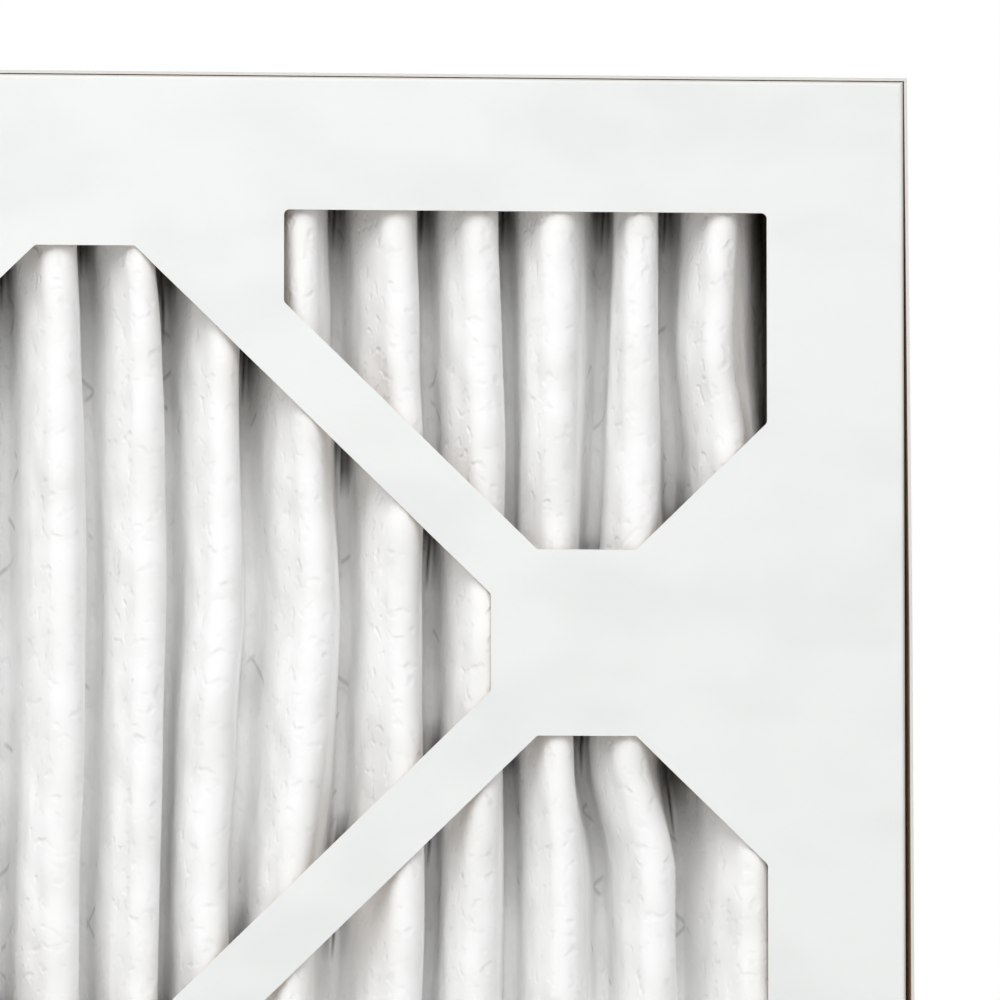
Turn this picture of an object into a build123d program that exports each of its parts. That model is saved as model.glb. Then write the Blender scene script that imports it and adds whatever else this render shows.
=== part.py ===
"""Pleated panel air filter: two nested board trays around one pleated pack.

Lengths are in millimetres. X runs across the panel's long side, Y from the
air-entering face to the air-leaving face, and Z up. The origin is the middle
of the underside.
"""

import os
from math import asin, atan2, cos, degrees, hypot, radians, sin

from build123d import *

# Whole panel
width = 622.3
height = 495.3
depth = 44.45

# Board trays. The front tray's walls slide inside the rear tray's walls.
board = 0.7
fold_radius = 1.1  # outside of each creased edge
nest_gap = 0.15  # glue line between the nested walls
straight_root = 3.0  # each wall's stretch beside its crease, before any bow
lip_setback = 0.4  # rear tray's lip behind the front face
lip_bow = 1.2  # how far that lip springs outwards halfway up each side
wall_end_gap = 0.3  # front tray's wall ends to the rear tray's face
tab_length = 25.0  # glue tab folded round each corner of the front tray
tab_inset = 3.0  # tab's root, clear of the folds at front and rear
tab_taper = 4.0  # how much narrower each side of the tab is at its tip

# Die-cut lattice in each tray's face
side_band = 33.3  # solid border along the upright sides
end_band = 32.2  # solid border along the top and the bottom
strut_width = 15.05
side_node_inset = 75.85  # outermost crossings, from the upright sides
end_node_inset = 19.15  # outermost crossings, from the top and the bottom
point_setback_x = 22.5  # openings' blunt side points, from the crossings
point_setback_z = 21.8  # openings' blunt upper and lower points
gusset_half_width = 46.6  # solid gusset each side of a crossing in the end bands
corner_radius = 1.3  # at every corner of an opening

# Pleated pack: a soft sheet with an expanded-metal grid bonded behind it
pleat_count = 32
media_thickness = 1.8
fold_middle_radius = 1.9  # of the sheet's middle, at each fold
fold_flats = 6  # flats that each soft fold is drawn with
grid_thickness = 0.5
bond_gap = 0.05  # adhesive film between sheet and grid
seat_gap = 0.3  # folds to the inside of either lattice
flap_length = 26.0  # first and last fold's flap, along the tray's side wall
grid_end_inset = 4.0  # grid's cut ends, in from the sheet's

# Adhesive between the pack and the front tray's walls
end_bead = 1.2  # under the cut ends of the pleats
side_bead = 0.5  # behind the flaps
bead_clearance = 0.5  # beads to the creases and the tabs
edge_inset = 1.0  # beads' ends, in from the tabs

# Places that follow from those sizes
front_width = width - 2 * (board + nest_gap)
front_height = height - 2 * (board + nest_gap)
inner_x = front_width / 2 - board
inner_z = front_height / 2 - board
inner_y = depth / 2 - board
wall_end_y = inner_y - wall_end_gap
cell_x = (width / 2 - side_node_inset) / 2
cell_z = (height / 2 - end_node_inset) / 2
pack_half_height = inner_z - end_bead

# Centres of the folds. The flanks are the crossing tangents between them.
grid_near = media_thickness / 2 + bond_gap
grid_far = grid_near + grid_thickness
front_fold_y = -inner_y + seat_gap + fold_middle_radius + media_thickness / 2
rear_fold_y = inner_y - seat_gap - fold_middle_radius - grid_far
end_fold_x = inner_x - side_bead - media_thickness / 2 - fold_middle_radius
pitch = 2 * end_fold_x / pleat_count
fold_reach = hypot(pitch / 2, rear_fold_y - front_fold_y)
flank_angle = degrees(
    atan2(pitch / 2, rear_fold_y - front_fold_y)
    - asin(2 * fold_middle_radius / fold_reach)
)
flap_end_y = front_fold_y + flap_length


def upright(y):
    """Plane facing the air-entering side, with its origin in the panel's middle."""
    return Plane((0, y, height / 2), x_dir=(1, 0, 0), z_dir=(0, -1, 0))


def write(node, shape):
    """Write one named piece to its own STEP file."""
    shape.label = node
    export_step(shape, f"parts/{node}.step")


# ---------------------------------------------------------------- the trays
def lattice_openings():
    """The die-cut openings: diamonds between crossing struts, cut by the border."""
    slope_length = hypot(cell_x, cell_z)
    shrink = 1 - strut_width / 2 * slope_length / (cell_x * cell_z)
    point_x = cell_x * shrink
    point_z = cell_z * shrink
    diamond = Polygon((point_x, 0), (0, point_z), (-point_x, 0), (0, -point_z))
    blunt_height = 2 * (cell_z - point_setback_z)
    opening = diamond & Rectangle(2 * (cell_x - point_setback_x), blunt_height)
    end_opening = diamond & Rectangle(2 * (cell_x - gusset_half_width), blunt_height)
    border = Rectangle(width - 2 * side_band, height - 2 * end_band)
    openings = []
    for column in range(-2, 3):
        for row in range(-2, 3):
            if (column + row) % 2 == 0:
                shape = end_opening if abs(row) == 2 else opening
                cut = (Pos(column * cell_x, row * cell_z) * shape) & border
                openings.append(fillet(cut.vertices(), corner_radius))
    return openings


def tray_outline(wide, tall, bow):
    """A tray's outline from the front, its upright sides bowed outwards by bow."""
    right, top = wide / 2, tall / 2
    edges = [Line((right, top), (-right, top)), Line((-right, -top), (right, -top))]
    for side in (1, -1):
        low, high = (side * right, -side * top), (side * right, side * top)
        if bow > 0:
            edges.append(ThreePointArc(low, (side * (right + bow), 0), high))
        else:
            edges.append(Line(low, high))
    return make_face(edges)


def tray_block(wide, tall, face_y, lip_y, bow, radius):
    """A block from a tray's face to its lip, with the creases round its face."""
    inward = 1 if lip_y > face_y else -1
    face_end = upright(face_y) * Rectangle(wide, tall)
    crease_end = upright(face_y + inward * straight_root) * tray_outline(wide, tall, 0)
    lip_end = upright(lip_y) * tray_outline(wide, tall, bow)
    root = extrude(face_end, amount=straight_root, dir=(0, inward, 0))
    creases = root.faces().sort_by(Axis.Y)[0 if inward > 0 else -1].edges()
    return fillet(creases, radius) + loft([crease_end, lip_end], ruled=True)


def folded_tray(wide, tall, face_y, lip_y, bow=0.0):
    """A tray folded from one blank: a lattice face and four walls."""
    shift = board if lip_y > face_y else -board
    outside = tray_block(wide, tall, face_y, lip_y, bow, fold_radius)
    inside = tray_block(
        wide - 2 * board,
        tall - 2 * board,
        face_y + shift,
        lip_y + shift,
        bow,
        fold_radius - board,
    )
    cutters = [
        extrude(upright(face_y) * opening, amount=2 * board, both=True)
        for opening in lattice_openings()
    ]
    return outside - inside - cutters


def corner_tab():
    """The front tray's upper right glue tab, flat against the top wall."""
    root_near = -inner_y + tab_inset
    root_far = wall_end_y - tab_inset
    tip_x = inner_x - tab_length
    outline = Polygon(
        (inner_x, root_near),
        (inner_x, root_far),
        (tip_x, root_far - tab_taper),
        (tip_x, root_near + tab_taper),
        align=None,
    )
    return Pos(0, 0, height / 2 + inner_z - board) * extrude(outline, amount=board)


def mirrored(shape):
    """A shape in the upper right corner, with its three mirror images."""
    middle = Plane((0, 0, height / 2))
    pair = [shape, mirror(shape, about=middle)]
    return pair + [mirror(piece, about=Plane.YZ) for piece in pair]


def front_frame():
    """Inner tray, with the air-entering face and the corner tabs."""
    tray = folded_tray(front_width, front_height, -depth / 2, wall_end_y)
    return tray + mirrored(corner_tab())


def rear_frame():
    """Outer tray, with the air-leaving face and the lip round the front tray."""
    return folded_tray(width, height, depth / 2, -depth / 2 + lip_setback, lip_bow)


# --------------------------------------------------------- the pleated pack
def fold_points(x, y, radius, start, turn):
    """Points along a fold's arc about (x, y), from the angle start through turn."""
    angles = [radians(start + turn * flat / fold_flats) for flat in range(fold_flats + 1)]
    return [(x + radius * cos(angle), y + radius * sin(angle)) for angle in angles]


def pleat_points(shift):
    """A line parallel to the sheet's middle, shift behind it, from flap to flap."""
    front_radius = fold_middle_radius - shift
    rear_radius = fold_middle_radius + shift
    flap_x = end_fold_x + front_radius
    points = [(-flap_x, flap_end_y)]
    for fold in range(pleat_count + 1):
        x = -end_fold_x + fold * pitch
        start = 180 if fold == 0 else 180 + flank_angle
        end = 360 if fold == pleat_count else 360 - flank_angle
        points += fold_points(x, front_fold_y, front_radius, start, end - start)
        if fold < pleat_count:
            start, turn = 180 - flank_angle, 2 * flank_angle - 180
            points += fold_points(x + pitch / 2, rear_fold_y, rear_radius, start, turn)
    return points + [(flap_x, flap_end_y)]


def pleated_sheet(near, far, half_height):
    """A pleated sheet between two parallel lines, standing on its cut ends."""
    outline = pleat_points(near) + pleat_points(far)[::-1]
    section = make_face(Polyline(outline, close=True))
    base = Pos(0, 0, height / 2 - half_height)
    return base * extrude(section, amount=2 * half_height, dir=(0, 0, 1))


def media_pack():
    """The soft filter sheet."""
    half_thickness = media_thickness / 2
    return pleated_sheet(-half_thickness, half_thickness, pack_half_height)


def support_grid():
    """The expanded-metal grid, folded with the sheet that it backs."""
    return pleated_sheet(grid_near, grid_far, pack_half_height - grid_end_inset)


# ------------------------------------------------------------ the adhesive
def block_between(low, high):
    """A rectangular block between two opposite corners."""
    size = [high[axis] - low[axis] for axis in range(3)]
    return Pos(*low) * Box(*size, align=(Align.MIN, Align.MIN, Align.MIN))


def end_adhesive():
    """The upper bead, between the top wall and the pleats' cut ends."""
    reach_x = inner_x - tab_length - edge_inset
    reach_y = inner_y - bead_clearance
    base = height / 2 + inner_z - end_bead
    low = (-reach_x, -reach_y, base)
    return block_between(low, (reach_x, reach_y, base + end_bead))


def side_adhesive():
    """The right-hand bead, between the side wall and the sheet's flap."""
    reach_z = pack_half_height - bead_clearance
    low = (inner_x - side_bead, front_fold_y, height / 2 - reach_z)
    return block_between(low, (inner_x, flap_end_y, height / 2 + reach_z))


os.makedirs("parts", exist_ok=True)
write("front_frame", front_frame())
write("rear_frame", rear_frame())
write("media_pack", media_pack())
write("support_grid", support_grid())
write("top_adhesive_bead", end_adhesive())
write("bottom_adhesive_bead", mirror(end_adhesive(), about=Plane((0, 0, height / 2))))
write("right_adhesive_bead", side_adhesive())
write("left_adhesive_bead", mirror(side_adhesive(), about=Plane.YZ))
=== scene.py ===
import math

import bmesh
import bpy
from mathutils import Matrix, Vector, noise
from mathutils.bvhtree import BVHTree


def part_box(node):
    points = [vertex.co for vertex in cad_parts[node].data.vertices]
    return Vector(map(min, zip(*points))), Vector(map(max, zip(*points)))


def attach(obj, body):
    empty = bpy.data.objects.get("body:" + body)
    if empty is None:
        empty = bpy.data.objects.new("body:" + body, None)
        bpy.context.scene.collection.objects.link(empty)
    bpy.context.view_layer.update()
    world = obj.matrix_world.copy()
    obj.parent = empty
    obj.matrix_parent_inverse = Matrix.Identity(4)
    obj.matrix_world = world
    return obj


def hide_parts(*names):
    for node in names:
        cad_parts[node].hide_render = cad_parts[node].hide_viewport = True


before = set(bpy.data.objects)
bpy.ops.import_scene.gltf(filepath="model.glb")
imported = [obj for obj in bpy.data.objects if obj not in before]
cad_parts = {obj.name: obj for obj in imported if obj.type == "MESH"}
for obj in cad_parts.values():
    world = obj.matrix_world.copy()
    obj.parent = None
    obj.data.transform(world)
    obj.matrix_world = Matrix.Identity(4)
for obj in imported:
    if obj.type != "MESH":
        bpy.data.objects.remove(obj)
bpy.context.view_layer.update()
print("frame loaded:", sorted(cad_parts))

mm = 0.001
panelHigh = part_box("rear_frame")[1]
faceLow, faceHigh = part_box("front_frame")
packLow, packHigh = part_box("media_pack")
panelMiddle = Vector((0, 0, panelHigh.z / 2))
frontY = faceLow.y
backY = panelHigh.y


# materials

def linear(hexColour):  # sRGB hex to linear
    parts = [int(hexColour[i:i + 2], 16) / 255 for i in (0, 2, 4)]
    return [p / 12.92 if p <= 0.04045 else ((p + 0.055) / 1.055) ** 2.4 for p in parts] + [1]


def addNode(owner, kind, settings=None, inputs=None):  # an input takes a value or another node's socket
    tree = owner.node_tree
    node = tree.nodes.new(kind)
    for name, value in (settings or {}).items():
        setattr(node, name, value)
    for place, value in (inputs or {}).items():
        if isinstance(value, bpy.types.NodeSocket):
            tree.links.new(value, node.inputs[place])
        else:
            node.inputs[place].default_value = value
    return node


def newMaterial(name):
    material = bpy.data.materials.new(name)
    material.use_nodes = True
    material.node_tree.nodes.clear()
    return material


def dress(piece, material):
    piece.data.materials.clear()
    piece.data.materials.append(material)


# pleats: a soft sheet folded between the two lattices

pleats = {
    "count": 32,
    "thickness": 1.8 * mm,
    "crestRadius": 3.2 * mm,  # of the sheet's middle, at the folds on the air-entering side
    "creaseRadius": 2.4 * mm,  # at the folds on the grid's side
    "radiusVaries": 0.7 * mm,
    "sink": 2.2 * mm,  # some folds stop this short of the lattice
    "arcPoints": 7,  # along each fold
    "flankPoints": 4,  # between two folds
    "rows": 68,
    "flapLength": 26 * mm,
    "cutWidth": 2843 * mm,  # of the sheet before it is folded
    "swell": [0.2 * mm, 1.9 * mm],  # how far a flank bellies out right and left of its crest
    "belly": 0.9 * mm,  # how unevenly
    "wander": 1.0 * mm,  # how far a fold strays sideways
    "slowShare": 1.4,  # of that, in long waves
    "quickShare": 0.3,  # and in short ones
    "creaseWander": 0.8,  # how far a crease strays, to a crest's 1
    "creaseVaries": 0.25,  # how far a crease's radius varies, to a crest's 1
    "strays": {  # waves to a metre up the panel, and a seed, for each thing that is uneven
        "slow": (9, 0), "quick": (26, 5), "crestRadius": (12, 11), "sink": (7, 23),
        "creaseRadius": (12, 31), "crease": (10, 41), "belly": (14, 53),
    },
    "strayPlaces": [7.31, 3.7],  # how far apart in the noise two folds and two seeds are read
    "strayGain": 1.6,  # brings the noise to about -1 to 1
    "creaseShadeReach": 5 * mm,  # a painted dark shade line runs down the crease this far below the board behind it
    "creaseShadeGap": 2 * mm,  # where board lies this near behind it
    "boardShadeDepths": [-6 * mm, 16 * mm],  # depths between which painted shade from the board behind begins
    "boardShadePower": 2,
    "rayTilts": [0.5, 0.95],  # radians off straight rearward, at which board is looked for
    "creaseLean": [-2.5 * mm, 0.0],  # how far creases stand off the middle between two crests
    "creaseLeanFrom": [90 * mm, 270 * mm],  # and the places between which that changes
    "leanHeights": [20, 60, 90, 125, 160, 185, 215],  # mm above the panel's middle
    "leanFade": 150,  # mm below it, over which the leans die out
    "lean": {  # mm sideways at those heights, for the crests counted from the right
        2: [8.5, 8.0, 7.5, 6.0, 2.6, -0.6, 0.7], 3: [5.0, 4.6, -2.3, 0.0, 0.5, 0.5, 0.5],
        4: [2.0, 1.8, -0.1, 0.3, 0.5, 0.3, 0.1], 5: [0.6, 1.0, 1.5, 2.0, 2.4, 1.8, 0.8],
        6: [1.8, 2.3, 2.0, 1.6, 2.8, 1.8, 0.4], 7: [-5.5, -4.8, -1.5, 0.9, -1.2, -2.0, -2.8],
        8: [-5.8, -5.2, -3.8, -2.0, -2.0, -2.0, -2.2], 9: [-2.2, -1.4, -0.8, -0.3, -0.8, -1.4, -3.3],
        10: [-2.2, -1.6, -0.8, -0.9, -1.5, -2.0, -3.2], 11: [-2.6, -2.6, -2.6, -2.6, -2.6, -2.6, -2.6],
    },
    "creaseTurn": {  # the same for the crease to the left of a crest
        3: [1.5, 1.0, 1.0, 2.0, 3.0, 3.8, 4.2], 2: [-2.0, -2.0, -2.0, -1.0, 0.0, 0.0, 0.0],
        1: [0.0, 0.0, 0.0, 2.0, 5.5, 6.0, 6.0],
    },
}


def between(values, places, place):  # smooth reading of a short list
    if place <= places[0]:
        return values[0]
    if place >= places[-1]:
        return values[-1]
    for i in range(len(places) - 1):
        if place <= places[i + 1]:
            t = (place - places[i]) / (places[i + 1] - places[i])
            t = t * t * (3 - 2 * t)
            return values[i] + (values[i + 1] - values[i]) * t


def stray(fold, z, kind):  # smooth noise down one fold, about -1 to 1
    waves, seed = pleats["strays"][kind]
    foldStep, seedStep = pleats["strayPlaces"]
    return noise.noise(Vector((fold * foldStep + seed, z * waves, seed * seedStep))) * pleats["strayGain"]


def upperShare(height):  # fades a lean out below the panel's middle
    return min(1, max(0, (height + pleats["leanFade"]) / pleats["leanFade"]))


def foldCircles(z):  # centre and radius of every fold at one height, crest and crease in turn
    p = pleats
    half = p["thickness"] / 2
    endX = packHigh.x - half - p["crestRadius"]
    pitch = 2 * endX / p["count"]
    height = (z - panelMiddle.z) / mm
    xs = []
    for i in range(p["count"] + 1):
        x = -endX + i * pitch
        fromRight = p["count"] - i
        if 0 < i < p["count"]:
            if fromRight in p["lean"]:
                x += between(p["lean"][fromRight], p["leanHeights"], height) * mm * upperShare(height)
                x += p["wander"] * p["quickShare"] * stray(i, z, "quick")
            else:
                slow, quick = stray(i, z, "slow"), stray(i, z, "quick")
                x += p["wander"] * (p["slowShare"] * slow + p["quickShare"] * quick)
        xs.append(x)
    circles = []
    for i in range(p["count"] + 1):
        ended = i in (0, p["count"])
        radius = p["crestRadius"] + (0 if ended else p["radiusVaries"] * stray(i, z, "crestRadius"))
        sink = 0 if ended else p["sink"] * max(0, stray(i, z, "sink"))
        circles.append((xs[i], packLow.y + half + radius + sink, radius))
        if i < p["count"]:
            radius = p["creaseRadius"] + p["creaseVaries"] * p["radiusVaries"] * stray(i, z, "creaseRadius")
            middle = (xs[i] + xs[i + 1]) / 2
            x = middle + between(p["creaseLean"], p["creaseLeanFrom"], middle)
            x += p["wander"] * p["creaseWander"] * stray(i, z, "crease")
            fromRight = p["count"] - i - 1
            if fromRight in p["creaseTurn"]:
                x += between(p["creaseTurn"][fromRight], p["leanHeights"], height) * mm * upperShare(height)
            circles.append((x, packHigh.y - half - radius, radius))
    return circles


swellScale = 27 / 4  # brings t (1 - t)^2 up to 1 at its peak
flapPoints = 2  # of the flap, before the first crest


def pleatRow(z):  # the points of the sheet's middle at one height, from flap to flap
    p = pleats
    circles = foldCircles(z)
    flapX = packHigh.x - p["thickness"] / 2
    flapEnd = circles[0][1] + p["flapLength"]
    angles = []  # of each flank, from the depth axis
    for (ax, ay, ar), (bx, by, br) in zip(circles, circles[1:]):
        across, along = bx - ax, abs(by - ay)
        angles.append(math.atan2(across, along) - math.asin((ar + br) / math.hypot(across, along)))
    points = [(-flapX, flapEnd - (flapEnd - circles[0][1]) * t) for t in (0, 0.5)]
    for i, (x, y, radius) in enumerate(circles):
        crest = i % 2 == 0
        before = angles[i - 1] if i else 0
        after = angles[i] if i < len(angles) else 0
        if crest:
            start, end = math.pi + before, 2 * math.pi - after
        else:
            start, end = math.pi - before, after
        for k in range(p["arcPoints"]):
            a = start + (end - start) * k / (p["arcPoints"] - 1)
            points.append((x + radius * math.cos(a), y + radius * math.sin(a)))
        if i == len(angles):
            break
        nextX, nextY, nextRadius = circles[i + 1]
        side = 1 if crest else -1
        farX = nextX - nextRadius * math.cos(after)
        farY = nextY + side * nextRadius * math.sin(after)
        nearX, nearY = points[-1]
        bow = p["belly"] * stray(i, z, "belly")
        for k in range(1, p["flankPoints"] + 1):
            t = k / (p["flankPoints"] + 1)
            fromCrest = t if crest else 1 - t
            swell = side * p["swell"][0 if crest else 1] * swellScale * fromCrest * (1 - fromCrest) ** 2
            points.append((nearX + (farX - nearX) * t + bow * math.sin(math.pi * t) + swell,
                           nearY + (farY - nearY) * t))
    points += [(flapX, circles[-1][1] + (flapEnd - circles[-1][1]) * t) for t in (0.5, 1)]
    return points


rearBoard = BVHTree.FromObject(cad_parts["rear_frame"], bpy.context.evaluated_depsgraph_get())
rearwards = [Vector((math.sin(tilt) * math.cos(turn), math.cos(tilt), math.sin(tilt) * math.sin(turn)))
             for tilt, turn in [(0, 0)] + [(pleats["rayTilts"][0], k * math.pi / 2) for k in range(4)]
             + [(pleats["rayTilts"][1], (k + 0.5) * math.pi / 2) for k in range(4)]]


def shadeFromBoard(x, y, z, onCrease):  # painted shade: how much of what lies behind a place on the sheet is board, which keeps light from coming through the sheet
    if onCrease:
        above = Vector((x, packHigh.y, z + pleats["creaseShadeReach"]))
        if rearBoard.ray_cast(above, rearwards[0], pleats["creaseShadeGap"])[0]:
            return 1.0
    first, last = pleats["boardShadeDepths"]
    near = min(1, max(0, (y - first) / (last - first)))
    if near == 0:
        return 0.0
    start = Vector((x, y, z))
    hits = sum(1 for way in rearwards if rearBoard.ray_cast(start, way)[0])
    return near * (hits / len(rearwards)) ** pleats["boardShadePower"]  # most where no light comes in around it


def thickPiece(name, bm, thickness, material):  # a bent sheet as a piece, thickened to both sides
    mesh = bpy.data.meshes.new(name)
    bm.to_mesh(mesh)
    bm.free()
    piece = bpy.data.objects.new(name, mesh)
    bpy.context.scene.collection.objects.link(piece)
    thick = piece.modifiers.new("thickness", "SOLIDIFY")
    thick.thickness = thickness
    thick.offset = 0
    dress(piece, material)
    return piece


def makePleats(material):
    p = pleats
    heights = [packLow.z + (packHigh.z - packLow.z) * r / (p["rows"] - 1) for r in range(p["rows"])]
    rows = [pleatRow(z) for z in heights]
    columns = len(rows[0])
    bm = bmesh.new()
    bmesh.ops.create_grid(bm, x_segments=columns - 1, y_segments=p["rows"] - 1, size=0.5)
    across = [0.0]  # unfolded length along the middle row, for the sheet's own map
    middle = rows[p["rows"] // 2]
    for a, b in zip(middle, middle[1:]):
        across.append(across[-1] + math.dist(a, b))
    mapLayer = bm.loops.layers.uv.new("flat")
    shadeLayer = bm.verts.layers.float.new("shadeFromBoard")
    for face in bm.faces:
        for loop in face.loops:
            c = round((loop.vert.co.x + 0.5) * (columns - 1))
            r = round((loop.vert.co.y + 0.5) * (p["rows"] - 1))
            loop[mapLayer].uv = (across[c], heights[r])
    for vert in bm.verts:
        c = round((vert.co.x + 0.5) * (columns - 1))
        r = round((vert.co.y + 0.5) * (p["rows"] - 1))
        x, y = rows[r][c]
        vert.co = (x, y, heights[r])
        fold, place = divmod(c - flapPoints, p["arcPoints"] + p["flankPoints"])
        onCrease = place == p["arcPoints"] // 2 and fold % 2 == 1
        # painted shade from the board behind, kept on each point for the fleece's colour
        vert[shadeLayer] = shadeFromBoard(x, y, heights[r], onCrease)
    piece = thickPiece("media_sheet", bm, p["thickness"], material)
    for polygon in piece.data.polygons:
        polygon.use_smooth = True
    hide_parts("media_pack")
    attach(piece, "root")
    print("unfolded sheet:", round(across[-1], 4), "by", round(packHigh.z - packLow.z, 4), "m")


# expanded-metal grid, folded with the sheet and bonded behind it

strands = {
    "longWay": 38 * mm,  # of one diamond, along the unfolded sheet
    "shortWay": 18 * mm,  # of one diamond, up the panel
    "width": 0.9 * mm,
    "thickness": 0.5 * mm,
    "bond": 0.05 * mm,
    "endInset": 4 * mm,
    "keep": 2,  # every second point of the sheet's fold line
}


lineCount = int((packHigh.z - packLow.z - 2 * strands["endInset"] - strands["shortWay"] / 2)
                / (strands["shortWay"] / 2)) + 1
firstLine = (packLow.z + packHigh.z) / 2 - (lineCount - 1) * strands["shortWay"] / 4


def zigzag(u, line):  # height of one strand above its own middle line
    s = strands
    turn = (u / s["longWay"] + 0.5 * (line % 2)) % 1
    return (1 - 4 * abs(turn - 0.5)) * s["shortWay"] / 4


def offsetRow(points, distance):  # the fold line moved off the sheet's middle, towards the rear
    moved = []
    for i, (x, y) in enumerate(points):
        a, b = points[max(0, i - 1)], points[min(len(points) - 1, i + 1)]
        dx, dy = b[0] - a[0], b[1] - a[1]
        length = math.hypot(dx, dy)
        moved.append((x - dy / length * distance, y + dx / length * distance))
    return moved


def makeStrands(material):
    s = strands
    rows = pleats["rows"]
    distance = pleats["thickness"] / 2 + s["bond"] + s["thickness"] / 2
    low, high = packLow.z, packHigh.z
    folded = [pleatRow(low + (high - low) * r / (rows - 1)) for r in range(rows)]
    behind = [offsetRow(points, distance) for points in folded]
    middle = folded[rows // 2]
    along = [0.0]
    for a, b in zip(middle, middle[1:]):
        along.append(along[-1] + math.dist(a, b))
    kept = list(range(0, len(middle), s["keep"]))
    bm = bmesh.new()
    bmesh.ops.create_grid(bm, x_segments=len(kept) - 1, y_segments=2 * lineCount - 1, size=0.5)
    gaps = []
    for face in bm.faces:
        strip = int((face.calc_center_median().y + 0.5) * (2 * lineCount - 1))
        if strip % 2:
            gaps.append(face)
    bmesh.ops.delete(bm, geom=gaps, context="FACES")
    for vert in bm.verts:
        c = kept[round((vert.co.x + 0.5) * (len(kept) - 1))]
        edge = round((vert.co.y + 0.5) * (2 * lineCount - 1))
        line = edge // 2
        z = firstLine + line * s["shortWay"] / 2 + zigzag(along[c], line) + (edge % 2 - 0.5) * s["width"]
        place = min(rows - 1.001, max(0, (z - low) / (high - low) * (rows - 1)))
        r, t = int(place), place - int(place)
        a, b = behind[r][c], behind[r + 1][c]
        vert.co = (a[0] + (b[0] - a[0]) * t, a[1] + (b[1] - a[1]) * t, z)
    piece = thickPiece("grid_strands", bm, s["thickness"], material)
    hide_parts("support_grid")
    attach(piece, "root")


# board: clay-coated beverage board, rolled smooth and die-cut, so a soft sheen with faint
# smudges and fibre streaks, bare brown kraft on the faces that look into the panel, and a
# paler core along the cut edges

board = {
    "light": "f5f7f6",
    "smudge": "eff1f0",
    "kraft": "b99f86",
    "core": "dfd3c4",
    "lip": "e2e0dc",
    "roughness": 0.5,
    "specular": 0.35,
    "smudgeSize": 34 * mm,
    "smudgeStretch": [0.7, 1.0, 1.2],
    "smudged": [0.42, 0.72],
    "fibreLength": 5 * mm,
    "fibreWidth": 0.45 * mm,
    "fibreHeight": 0.012 * mm,
    "edgeDepth": 0.75 * mm,  # cut edges lie within the board's thickness
    "borderLeft": 10 * mm,  # and this far in from the outside
    "lipReach": 2.0 * mm,  # the step between the two trays
    "lipStart": 0.2 * mm,
}


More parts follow.
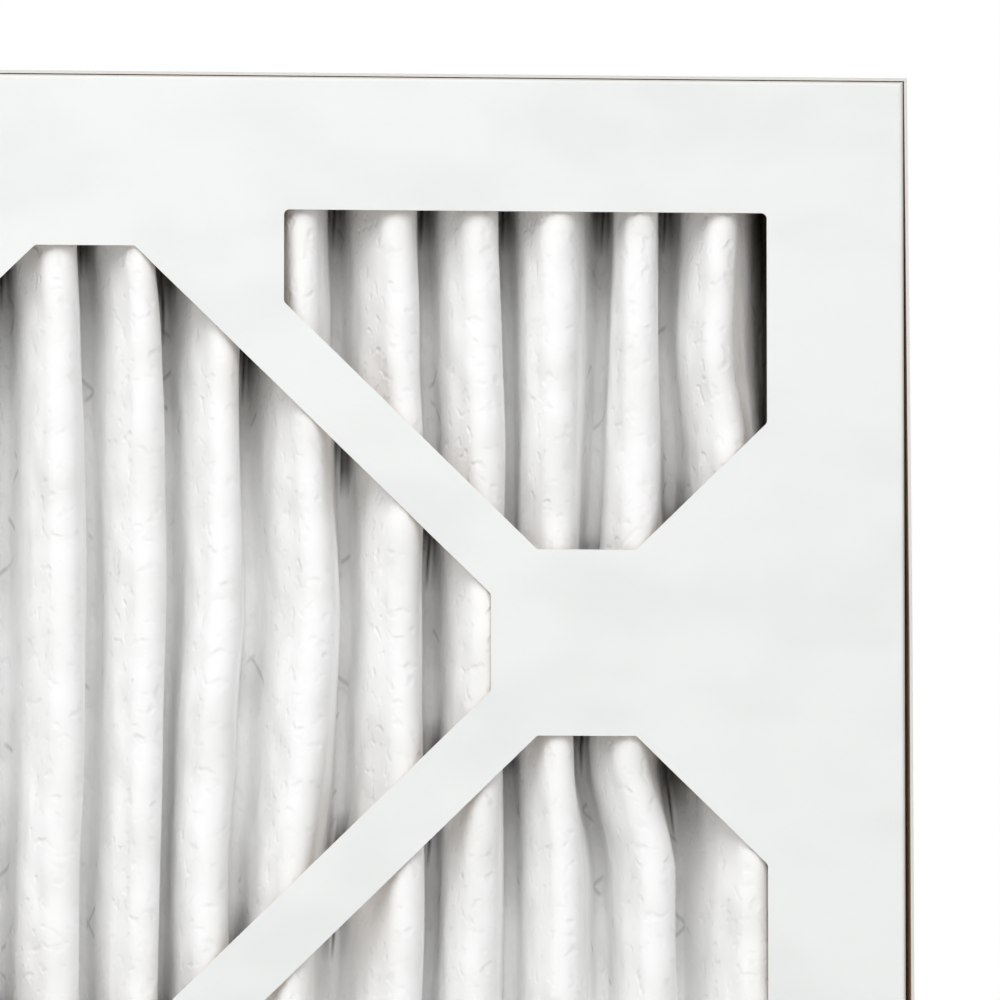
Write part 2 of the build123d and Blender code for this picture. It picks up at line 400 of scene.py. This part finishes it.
def makeBoardMaterial():
    c = board
    material = newMaterial("clay-coated beverage board, die-cut")
    place = addNode(material, "ShaderNodeTexCoord").outputs["Object"]
    normal = addNode(material, "ShaderNodeNewGeometry").outputs["Normal"]
    smudgeScale = [stretch / c["smudgeSize"] for stretch in c["smudgeStretch"]]
    smudgePlace = addNode(material, "ShaderNodeMapping", None, {"Vector": place, "Scale": smudgeScale})
    smudge = addNode(material, "ShaderNodeTexNoise", None, {
        "Vector": smudgePlace.outputs[0], "Scale": 1.0, "Detail": 2.0, "Roughness": 0.55})
    smudged = addNode(material, "ShaderNodeMapRange", {"interpolation_type": "SMOOTHSTEP"}, {
        "Value": smudge.outputs[0], "From Min": c["smudged"][0], "From Max": c["smudged"][1]})
    coated = addNode(material, "ShaderNodeMix", {"data_type": "RGBA"}, {
        0: smudged.outputs[0], 6: linear(c["light"]), 7: linear(c["smudge"])})
    # the side that faces into the panel is bare kraft
    fromMiddle = addNode(material, "ShaderNodeVectorMath", {"operation": "SUBTRACT"}, {
        0: place, 1: panelMiddle})
    outward = addNode(material, "ShaderNodeVectorMath", {"operation": "DOT_PRODUCT"}, {
        0: fromMiddle.outputs[0], 1: normal})
    inner = addNode(material, "ShaderNodeMath", {"operation": "LESS_THAN"}, {
        0: outward.outputs["Value"], 1: 0.0})
    # the cut edges of the openings show the core
    sides = addNode(material, "ShaderNodeVectorMath", {"operation": "ABSOLUTE"}, {0: fromMiddle.outputs[0]})
    side = addNode(material, "ShaderNodeSeparateXYZ", None, {0: sides.outputs[0]}).outputs
    facing = addNode(material, "ShaderNodeSeparateXYZ", None, {0: normal}).outputs
    edgeOn = addNode(material, "ShaderNodeMath", {"operation": "COMPARE"}, {0: facing["Y"], 1: 0.0, 2: 0.5})
    cut = addNode(material, "ShaderNodeMath", {"operation": "GREATER_THAN"}, {
        0: side["Y"], 1: backY - c["edgeDepth"]})
    withinX = addNode(material, "ShaderNodeMath", {"operation": "LESS_THAN"}, {
        0: side["X"], 1: faceHigh.x - c["borderLeft"]})
    withinZ = addNode(material, "ShaderNodeMath", {"operation": "LESS_THAN"}, {
        0: side["Z"], 1: faceHigh.z - panelMiddle.z - c["borderLeft"]})
    share = edgeOn.outputs[0]
    for other in (cut, withinX, withinZ):
        share = addNode(material, "ShaderNodeMath", {"operation": "MULTIPLY"}, {
            0: share, 1: other.outputs[0]}).outputs[0]
    kraft = addNode(material, "ShaderNodeMix", {"data_type": "RGBA"}, {
        0: inner.outputs[0], 6: coated.outputs[2], 7: linear(c["kraft"])})
    kraft = addNode(material, "ShaderNodeMix", {"data_type": "RGBA"}, {
        0: share, 6: kraft.outputs[2], 7: linear(c["core"])})
    # and so, paler still, does the rear tray's wall where it ends beside the front board
    forward = addNode(material, "ShaderNodeMath", {"operation": "LESS_THAN"}, {0: facing["Y"], 1: -0.5})
    stepped = addNode(material, "ShaderNodeMath", {"operation": "COMPARE"}, {
        0: side["Y"], 1: -frontY - c["lipReach"] / 2, 2: c["lipReach"] / 2 - c["lipStart"]})
    lip = addNode(material, "ShaderNodeMath", {"operation": "MULTIPLY"}, {
        0: forward.outputs[0], 1: stepped.outputs[0]})
    colour = addNode(material, "ShaderNodeMix", {"data_type": "RGBA"}, {
        0: lip.outputs[0], 6: kraft.outputs[2], 7: linear(c["lip"])})
    fibreScale = [1 / c["fibreLength"], 1 / c["fibreWidth"], 1 / c["fibreWidth"]]
    fibrePlace = addNode(material, "ShaderNodeMapping", None, {"Vector": place, "Scale": fibreScale})
    fibre = addNode(material, "ShaderNodeTexNoise", None, {
        "Vector": fibrePlace.outputs[0], "Scale": 1.0, "Detail": 0.0})
    height = addNode(material, "ShaderNodeMath", {"operation": "MULTIPLY"}, {
        0: fibre.outputs[0], 1: c["fibreHeight"]})
    bump = addNode(material, "ShaderNodeBump", None, {
        "Strength": 1.0, "Distance": 1.0, "Height": height.outputs[0]})
    surface = addNode(material, "ShaderNodeBsdfPrincipled", None, {
        "Base Color": colour.outputs[2], "Roughness": c["roughness"], "Specular IOR Level": c["specular"],
        "Normal": bump.outputs[0]})
    addNode(material, "ShaderNodeOutputMaterial", None, {"Surface": surface.outputs[0]})
    return material


# media: carded cotton and polyester fleece, soft and matt, with small tufts and shallow
# dimples, cloudy thin places, painted shadows of the strands behind it as faint short strokes
# deep between the pleats, and painted shade where board lies behind the sheet

fleece = {
    "light": "ffffff",
    "thin": "f6f6f5",
    # painted shadow of the strands behind the sheet
    "wireShadow": "dcdcda",
    "roughness": 0.95,
    "specular": 0.2,
    "board": "6a6863",  # painted shade, where board right behind the sheet keeps light from coming through it
    "cloudSize": 13 * mm,
    "cloudStretch": 0.6,
    "clouded": [0.4, 0.8],
    "tuftSize": 3.4 * mm,  # of fibre, as single fibres are too fine to show
    "tuftHeight": 0.1 * mm,
    "dimpled": [0.52, 0.85],
    "dimpleDepth": 0.3 * mm,
    "dentSize": 9 * mm,
    "dentHeight": 1.0 * mm,
    "wireShadowHalfWidth": 0.6 * mm,
    "wireShadowFades": [1.5, 0.3],  # times that half width
    "wireShadowDepths": [2 * mm, 10 * mm],  # behind the panel's middle, where the painted shadow begins to show
    "wireShadowPatches": [0.6, 0.66],
    "linesBelow": 40,  # whole diamonds, so that every height above them is positive
}


def makeMediaMaterial():
    c = fleece
    s = strands
    material = newMaterial("cotton and polyester fleece, carded")
    place = addNode(material, "ShaderNodeTexCoord").outputs["Object"]
    sheet = addNode(material, "ShaderNodeUVMap", {"uv_map": "flat"}).outputs[0]
    cloudScale = [1 / c["cloudSize"], c["cloudStretch"] / c["cloudSize"], 1.0]
    cloudPlace = addNode(material, "ShaderNodeMapping", None, {"Vector": sheet, "Scale": cloudScale})
    cloud = addNode(material, "ShaderNodeTexNoise", {"noise_dimensions": "2D"}, {
        "Vector": cloudPlace.outputs[0], "Scale": 1.0, "Detail": 1.0, "Roughness": 0.55}).outputs[0]
    clouded = addNode(material, "ShaderNodeMapRange", {"interpolation_type": "SMOOTHSTEP"}, {
        "Value": cloud, "From Min": c["clouded"][0], "From Max": c["clouded"][1]})
    white = addNode(material, "ShaderNodeMix", {"data_type": "RGBA"}, {
        0: clouded.outputs[0], 6: linear(c["light"]), 7: linear(c["thin"])})
    # distance from the nearest of the strands, which run in zigzags on the unfolded sheet
    flat = addNode(material, "ShaderNodeSeparateXYZ", None, {0: sheet}).outputs
    wave = addNode(material, "ShaderNodeMath", {"operation": "PINGPONG"}, {
        0: flat["X"], 1: s["longWay"] / 2})
    wave = addNode(material, "ShaderNodeMath", {"operation": "MULTIPLY_ADD"}, {
        0: wave.outputs[0], 1: s["shortWay"] / s["longWay"], 2: -s["shortWay"] / 4})
    level = addNode(material, "ShaderNodeMath", {"operation": "SUBTRACT"}, {
        0: flat["Y"], 1: firstLine - c["linesBelow"] * s["shortWay"]})
    below = addNode(material, "ShaderNodeMath", {"operation": "SUBTRACT"}, {
        0: level.outputs[0], 1: wave.outputs[0]})
    above = addNode(material, "ShaderNodeMath", {"operation": "ADD"}, {
        0: level.outputs[0], 1: wave.outputs[0]})
    above = addNode(material, "ShaderNodeMath", {"operation": "SUBTRACT"}, {
        0: above.outputs[0], 1: s["shortWay"] / 2})
    even = addNode(material, "ShaderNodeMath", {"operation": "PINGPONG"}, {
        0: below.outputs[0], 1: s["shortWay"] / 2})
    odd = addNode(material, "ShaderNodeMath", {"operation": "PINGPONG"}, {
        0: above.outputs[0], 1: s["shortWay"] / 2})
    distance = addNode(material, "ShaderNodeMath", {"operation": "MINIMUM"}, {
        0: even.outputs[0], 1: odd.outputs[0]})
    wireShadow = addNode(material, "ShaderNodeMapRange", None, {
        "Value": distance.outputs[0], "From Min": c["wireShadowHalfWidth"] * c["wireShadowFades"][0],
        "From Max": c["wireShadowHalfWidth"] * c["wireShadowFades"][1]})
    depth = addNode(material, "ShaderNodeSeparateXYZ", None, {0: place}).outputs["Y"]
    deep = addNode(material, "ShaderNodeMapRange", None, {
        "Value": depth, "From Min": c["wireShadowDepths"][0], "From Max": c["wireShadowDepths"][1]})
    patch = addNode(material, "ShaderNodeMapRange", None, {
        "Value": cloud, "From Min": c["wireShadowPatches"][0], "From Max": c["wireShadowPatches"][1]})
    shown = addNode(material, "ShaderNodeMath", {"operation": "MULTIPLY"}, {
        0: wireShadow.outputs[0], 1: deep.outputs[0]})
    shown = addNode(material, "ShaderNodeMath", {"operation": "MULTIPLY"}, {
        0: shown.outputs[0], 1: patch.outputs[0]})
    # painted shadow of the strands, deep between the pleats
    wireShadowed = addNode(material, "ShaderNodeMix", {"data_type": "RGBA"}, {
        0: shown.outputs[0], 6: white.outputs[2], 7: linear(c["wireShadow"])})
    # painted shade where board behind the sheet keeps the light off it, darkest as a line along creases
    # beneath the board
    boardShade = addNode(material, "ShaderNodeAttribute", {"attribute_name": "shadeFromBoard"}).outputs["Fac"]
    colour = addNode(material, "ShaderNodeMix", {"data_type": "RGBA"}, {
        0: boardShade, 6: wireShadowed.outputs[2], 7: linear(c["board"])})
    # the nap: tufts of fibre, and sparse dimples where a strand pulls the fleece in
    tufts = addNode(material, "ShaderNodeTexNoise", {"noise_dimensions": "2D"}, {
        "Vector": sheet, "Scale": 1 / c["tuftSize"], "Detail": 1.0, "Roughness": 0.6})
    dimples = addNode(material, "ShaderNodeMapRange", {"interpolation_type": "SMOOTHSTEP"}, {
        "Value": tufts.outputs[0], "From Min": c["dimpled"][0], "From Max": c["dimpled"][1],
        "To Max": -c["dimpleDepth"]})
    dents = addNode(material, "ShaderNodeTexNoise", {"noise_dimensions": "2D"}, {
        "Vector": sheet, "Scale": 1 / c["dentSize"], "Detail": 0.0})
    height = addNode(material, "ShaderNodeMath", {"operation": "MULTIPLY_ADD"}, {
        0: dents.outputs[0], 1: c["dentHeight"], 2: dimples.outputs[0]})
    height = addNode(material, "ShaderNodeMath", {"operation": "MULTIPLY_ADD"}, {
        0: tufts.outputs[0], 1: c["tuftHeight"], 2: height.outputs[0]})
    bump = addNode(material, "ShaderNodeBump", None, {
        "Strength": 1.0, "Distance": 1.0, "Height": height.outputs[0]})
    surface = addNode(material, "ShaderNodeBsdfPrincipled", None, {
        "Base Color": colour.outputs[2], "Roughness": c["roughness"], "Specular IOR Level": c["specular"],
        "Normal": bump.outputs[0]})
    addNode(material, "ShaderNodeOutputMaterial", None, {"Surface": surface.outputs[0]})
    return material


# grid: galvanised steel, slit and expanded, so dull zinc with a faint spangle

zinc = {
    "bright": "b9bcbe",
    "dull": "8f9294",
    "roughness": 0.42,
    "spangleSize": 3 * mm,
    "spangled": [0.35, 0.65],
}


def makeZincMaterial():
    c = zinc
    material = newMaterial("galvanised steel, expanded")
    place = addNode(material, "ShaderNodeTexCoord").outputs["Object"]
    spangle = addNode(material, "ShaderNodeTexNoise", None, {
        "Vector": place, "Scale": 1 / c["spangleSize"], "Detail": 1.0})
    share = addNode(material, "ShaderNodeMapRange", None, {
        "Value": spangle.outputs[0], "From Min": c["spangled"][0], "From Max": c["spangled"][1]})
    colour = addNode(material, "ShaderNodeMix", {"data_type": "RGBA"}, {
        0: share.outputs[0], 6: linear(c["bright"]), 7: linear(c["dull"])})
    surface = addNode(material, "ShaderNodeBsdfPrincipled", None, {
        "Base Color": colour.outputs[2], "Metallic": 1.0, "Roughness": c["roughness"]})
    addNode(material, "ShaderNodeOutputMaterial", None, {"Surface": surface.outputs[0]})
    return material


# adhesive: hot melt, laid as a bead and pressed, so waxy cream with slow waves

glue = {
    "light": "f1ecdc",
    "dull": "e2dac4",
    "roughness": 0.38,
    "waveSize": 9 * mm,
    "waveHeight": 0.25 * mm,
    "waved": [0.3, 0.7],
}


def makeGlueMaterial():
    c = glue
    material = newMaterial("hot-melt adhesive, extruded")
    place = addNode(material, "ShaderNodeTexCoord").outputs["Object"]
    waves = addNode(material, "ShaderNodeTexNoise", None, {
        "Vector": place, "Scale": 1 / c["waveSize"], "Detail": 2.0})
    share = addNode(material, "ShaderNodeMapRange", None, {
        "Value": waves.outputs[0], "From Min": c["waved"][0], "From Max": c["waved"][1]})
    colour = addNode(material, "ShaderNodeMix", {"data_type": "RGBA"}, {
        0: share.outputs[0], 6: linear(c["light"]), 7: linear(c["dull"])})
    height = addNode(material, "ShaderNodeMath", {"operation": "MULTIPLY"}, {
        0: waves.outputs[0], 1: c["waveHeight"]})
    bump = addNode(material, "ShaderNodeBump", None, {
        "Strength": 1.0, "Distance": 1.0, "Height": height.outputs[0]})
    surface = addNode(material, "ShaderNodeBsdfPrincipled", None, {
        "Base Color": colour.outputs[2], "Roughness": c["roughness"], "Normal": bump.outputs[0]})
    addNode(material, "ShaderNodeOutputMaterial", None, {"Surface": surface.outputs[0]})
    return material


boardMaterial = makeBoardMaterial()
glueMaterial = makeGlueMaterial()
for name in ("front_frame", "rear_frame"):
    dress(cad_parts[name], boardMaterial)
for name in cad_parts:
    if name.endswith("bead"):
        dress(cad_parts[name], glueMaterial)
makePleats(makeMediaMaterial())
print("pleats folded")
makeStrands(makeZincMaterial())
print("grid strands laid")


# floor, light and camera

stage = {
    "floorSize": 12.0,
    "floorColour": "e8e8e6",
    "floorRoughness": 0.8,
    "floorGlow": 0.85,  # how far the floor pales towards the white backdrop where the camera sees it
    "worldStrength": 0.34,
    "lampSize": 1.3,
    "diffuseBounces": 12,  # white walls of a deep pleat light each other
    "lamps": {  # power and place of each softbox
        "left softbox": (13.5, (-0.65, -1.25, 1.55)),
        "front softbox": (19, (0.0, -2.1, 1.75)),
        "back softbox": (28, (0.3, 2.2, 1.6)),
    },
}

camera = {
    "aim": Vector((214.93 * mm, frontY, panelMiddle.z + 147.55 * mm)),
    "fromLeft": 5.0,  # degrees
    "fromBelow": 4.0,
    "roll": -0.02,
    "distance": 2.5,
    "fieldWidth": 233.9 * mm,
    "sensor": 36.0,
    "clipEnd": 100,
}


def makeFloor():
    bm = bmesh.new()
    bmesh.ops.create_grid(bm, x_segments=1, y_segments=1, size=stage["floorSize"] / 2)
    mesh = bpy.data.meshes.new("floor")
    bm.to_mesh(mesh)
    bm.free()
    floor = bpy.data.objects.new("floor", mesh)
    bpy.context.scene.collection.objects.link(floor)
    material = newMaterial("painted studio floor, matt")
    paint = addNode(material, "ShaderNodeBsdfPrincipled", None, {
        "Base Color": linear(stage["floorColour"]), "Roughness": stage["floorRoughness"]})
    seen = addNode(material, "ShaderNodeLightPath").outputs["Is Camera Ray"]
    share = addNode(material, "ShaderNodeMath", {"operation": "MULTIPLY"}, {0: seen, 1: stage["floorGlow"]})
    glow = addNode(material, "ShaderNodeEmission", None, {"Color": (1, 1, 1, 1), "Strength": 1.0})
    both = addNode(material, "ShaderNodeMixShader", None, {
        0: share.outputs[0], 1: paint.outputs[0], 2: glow.outputs[0]})
    addNode(material, "ShaderNodeOutputMaterial", None, {"Surface": both.outputs[0]})
    dress(floor, material)


def makeLight(name, power, size, place, aim):
    data = bpy.data.lights.new(name, "AREA")
    data.energy = power
    data.size = size
    light = bpy.data.objects.new(name, data)
    light.location = place
    light.rotation_euler = (Vector(aim) - Vector(place)).to_track_quat("-Z", "Y").to_euler()
    bpy.context.scene.collection.objects.link(light)


def makeWorld():
    world = bpy.data.worlds.new("studio")
    bpy.context.scene.world = world
    world.use_nodes = True
    world.node_tree.nodes.clear()
    ray = addNode(world, "ShaderNodeLightPath").outputs
    seen = addNode(world, "ShaderNodeMath", {"operation": "MAXIMUM"}, {
        0: ray["Is Camera Ray"], 1: ray["Is Glossy Ray"]})
    seen = addNode(world, "ShaderNodeMath", {"operation": "MAXIMUM"}, {
        0: seen.outputs[0], 1: ray["Is Transmission Ray"]})
    strength = addNode(world, "ShaderNodeMapRange", None, {
        "Value": seen.outputs[0], "To Min": stage["worldStrength"], "To Max": 1.0})
    sky = addNode(world, "ShaderNodeBackground", None, {
        "Color": (1, 1, 1, 1), "Strength": strength.outputs[0]})
    addNode(world, "ShaderNodeOutputWorld", None, {"Surface": sky.outputs[0]})


def makeCamera():
    c = camera
    left, below = math.radians(c["fromLeft"]), math.radians(c["fromBelow"])
    away = Vector((-math.sin(left) * math.cos(below), -math.cos(left) * math.cos(below), -math.sin(below)))
    data = bpy.data.cameras.new("camera")
    data.sensor_width = c["sensor"]
    data.lens = c["sensor"] * c["distance"] / c["fieldWidth"]
    data.clip_end = c["clipEnd"]
    eye = bpy.data.objects.new("camera", data)
    eye.location = c["aim"] + away * c["distance"]
    turn = (-away).to_track_quat("-Z", "Y")
    eye.rotation_euler = turn.to_euler()
    eye.rotation_euler.rotate_axis("Z", math.radians(c["roll"]))
    bpy.context.scene.collection.objects.link(eye)
    bpy.context.scene.camera = eye


makeFloor()
makeWorld()
for name, (power, place) in stage["lamps"].items():
    makeLight(name, power, stage["lampSize"], place, panelMiddle)
makeCamera()
bpy.context.scene.view_settings.view_transform = "Standard"
bpy.context.scene.cycles.diffuse_bounces = stage["diffuseBounces"]
print("stage set")
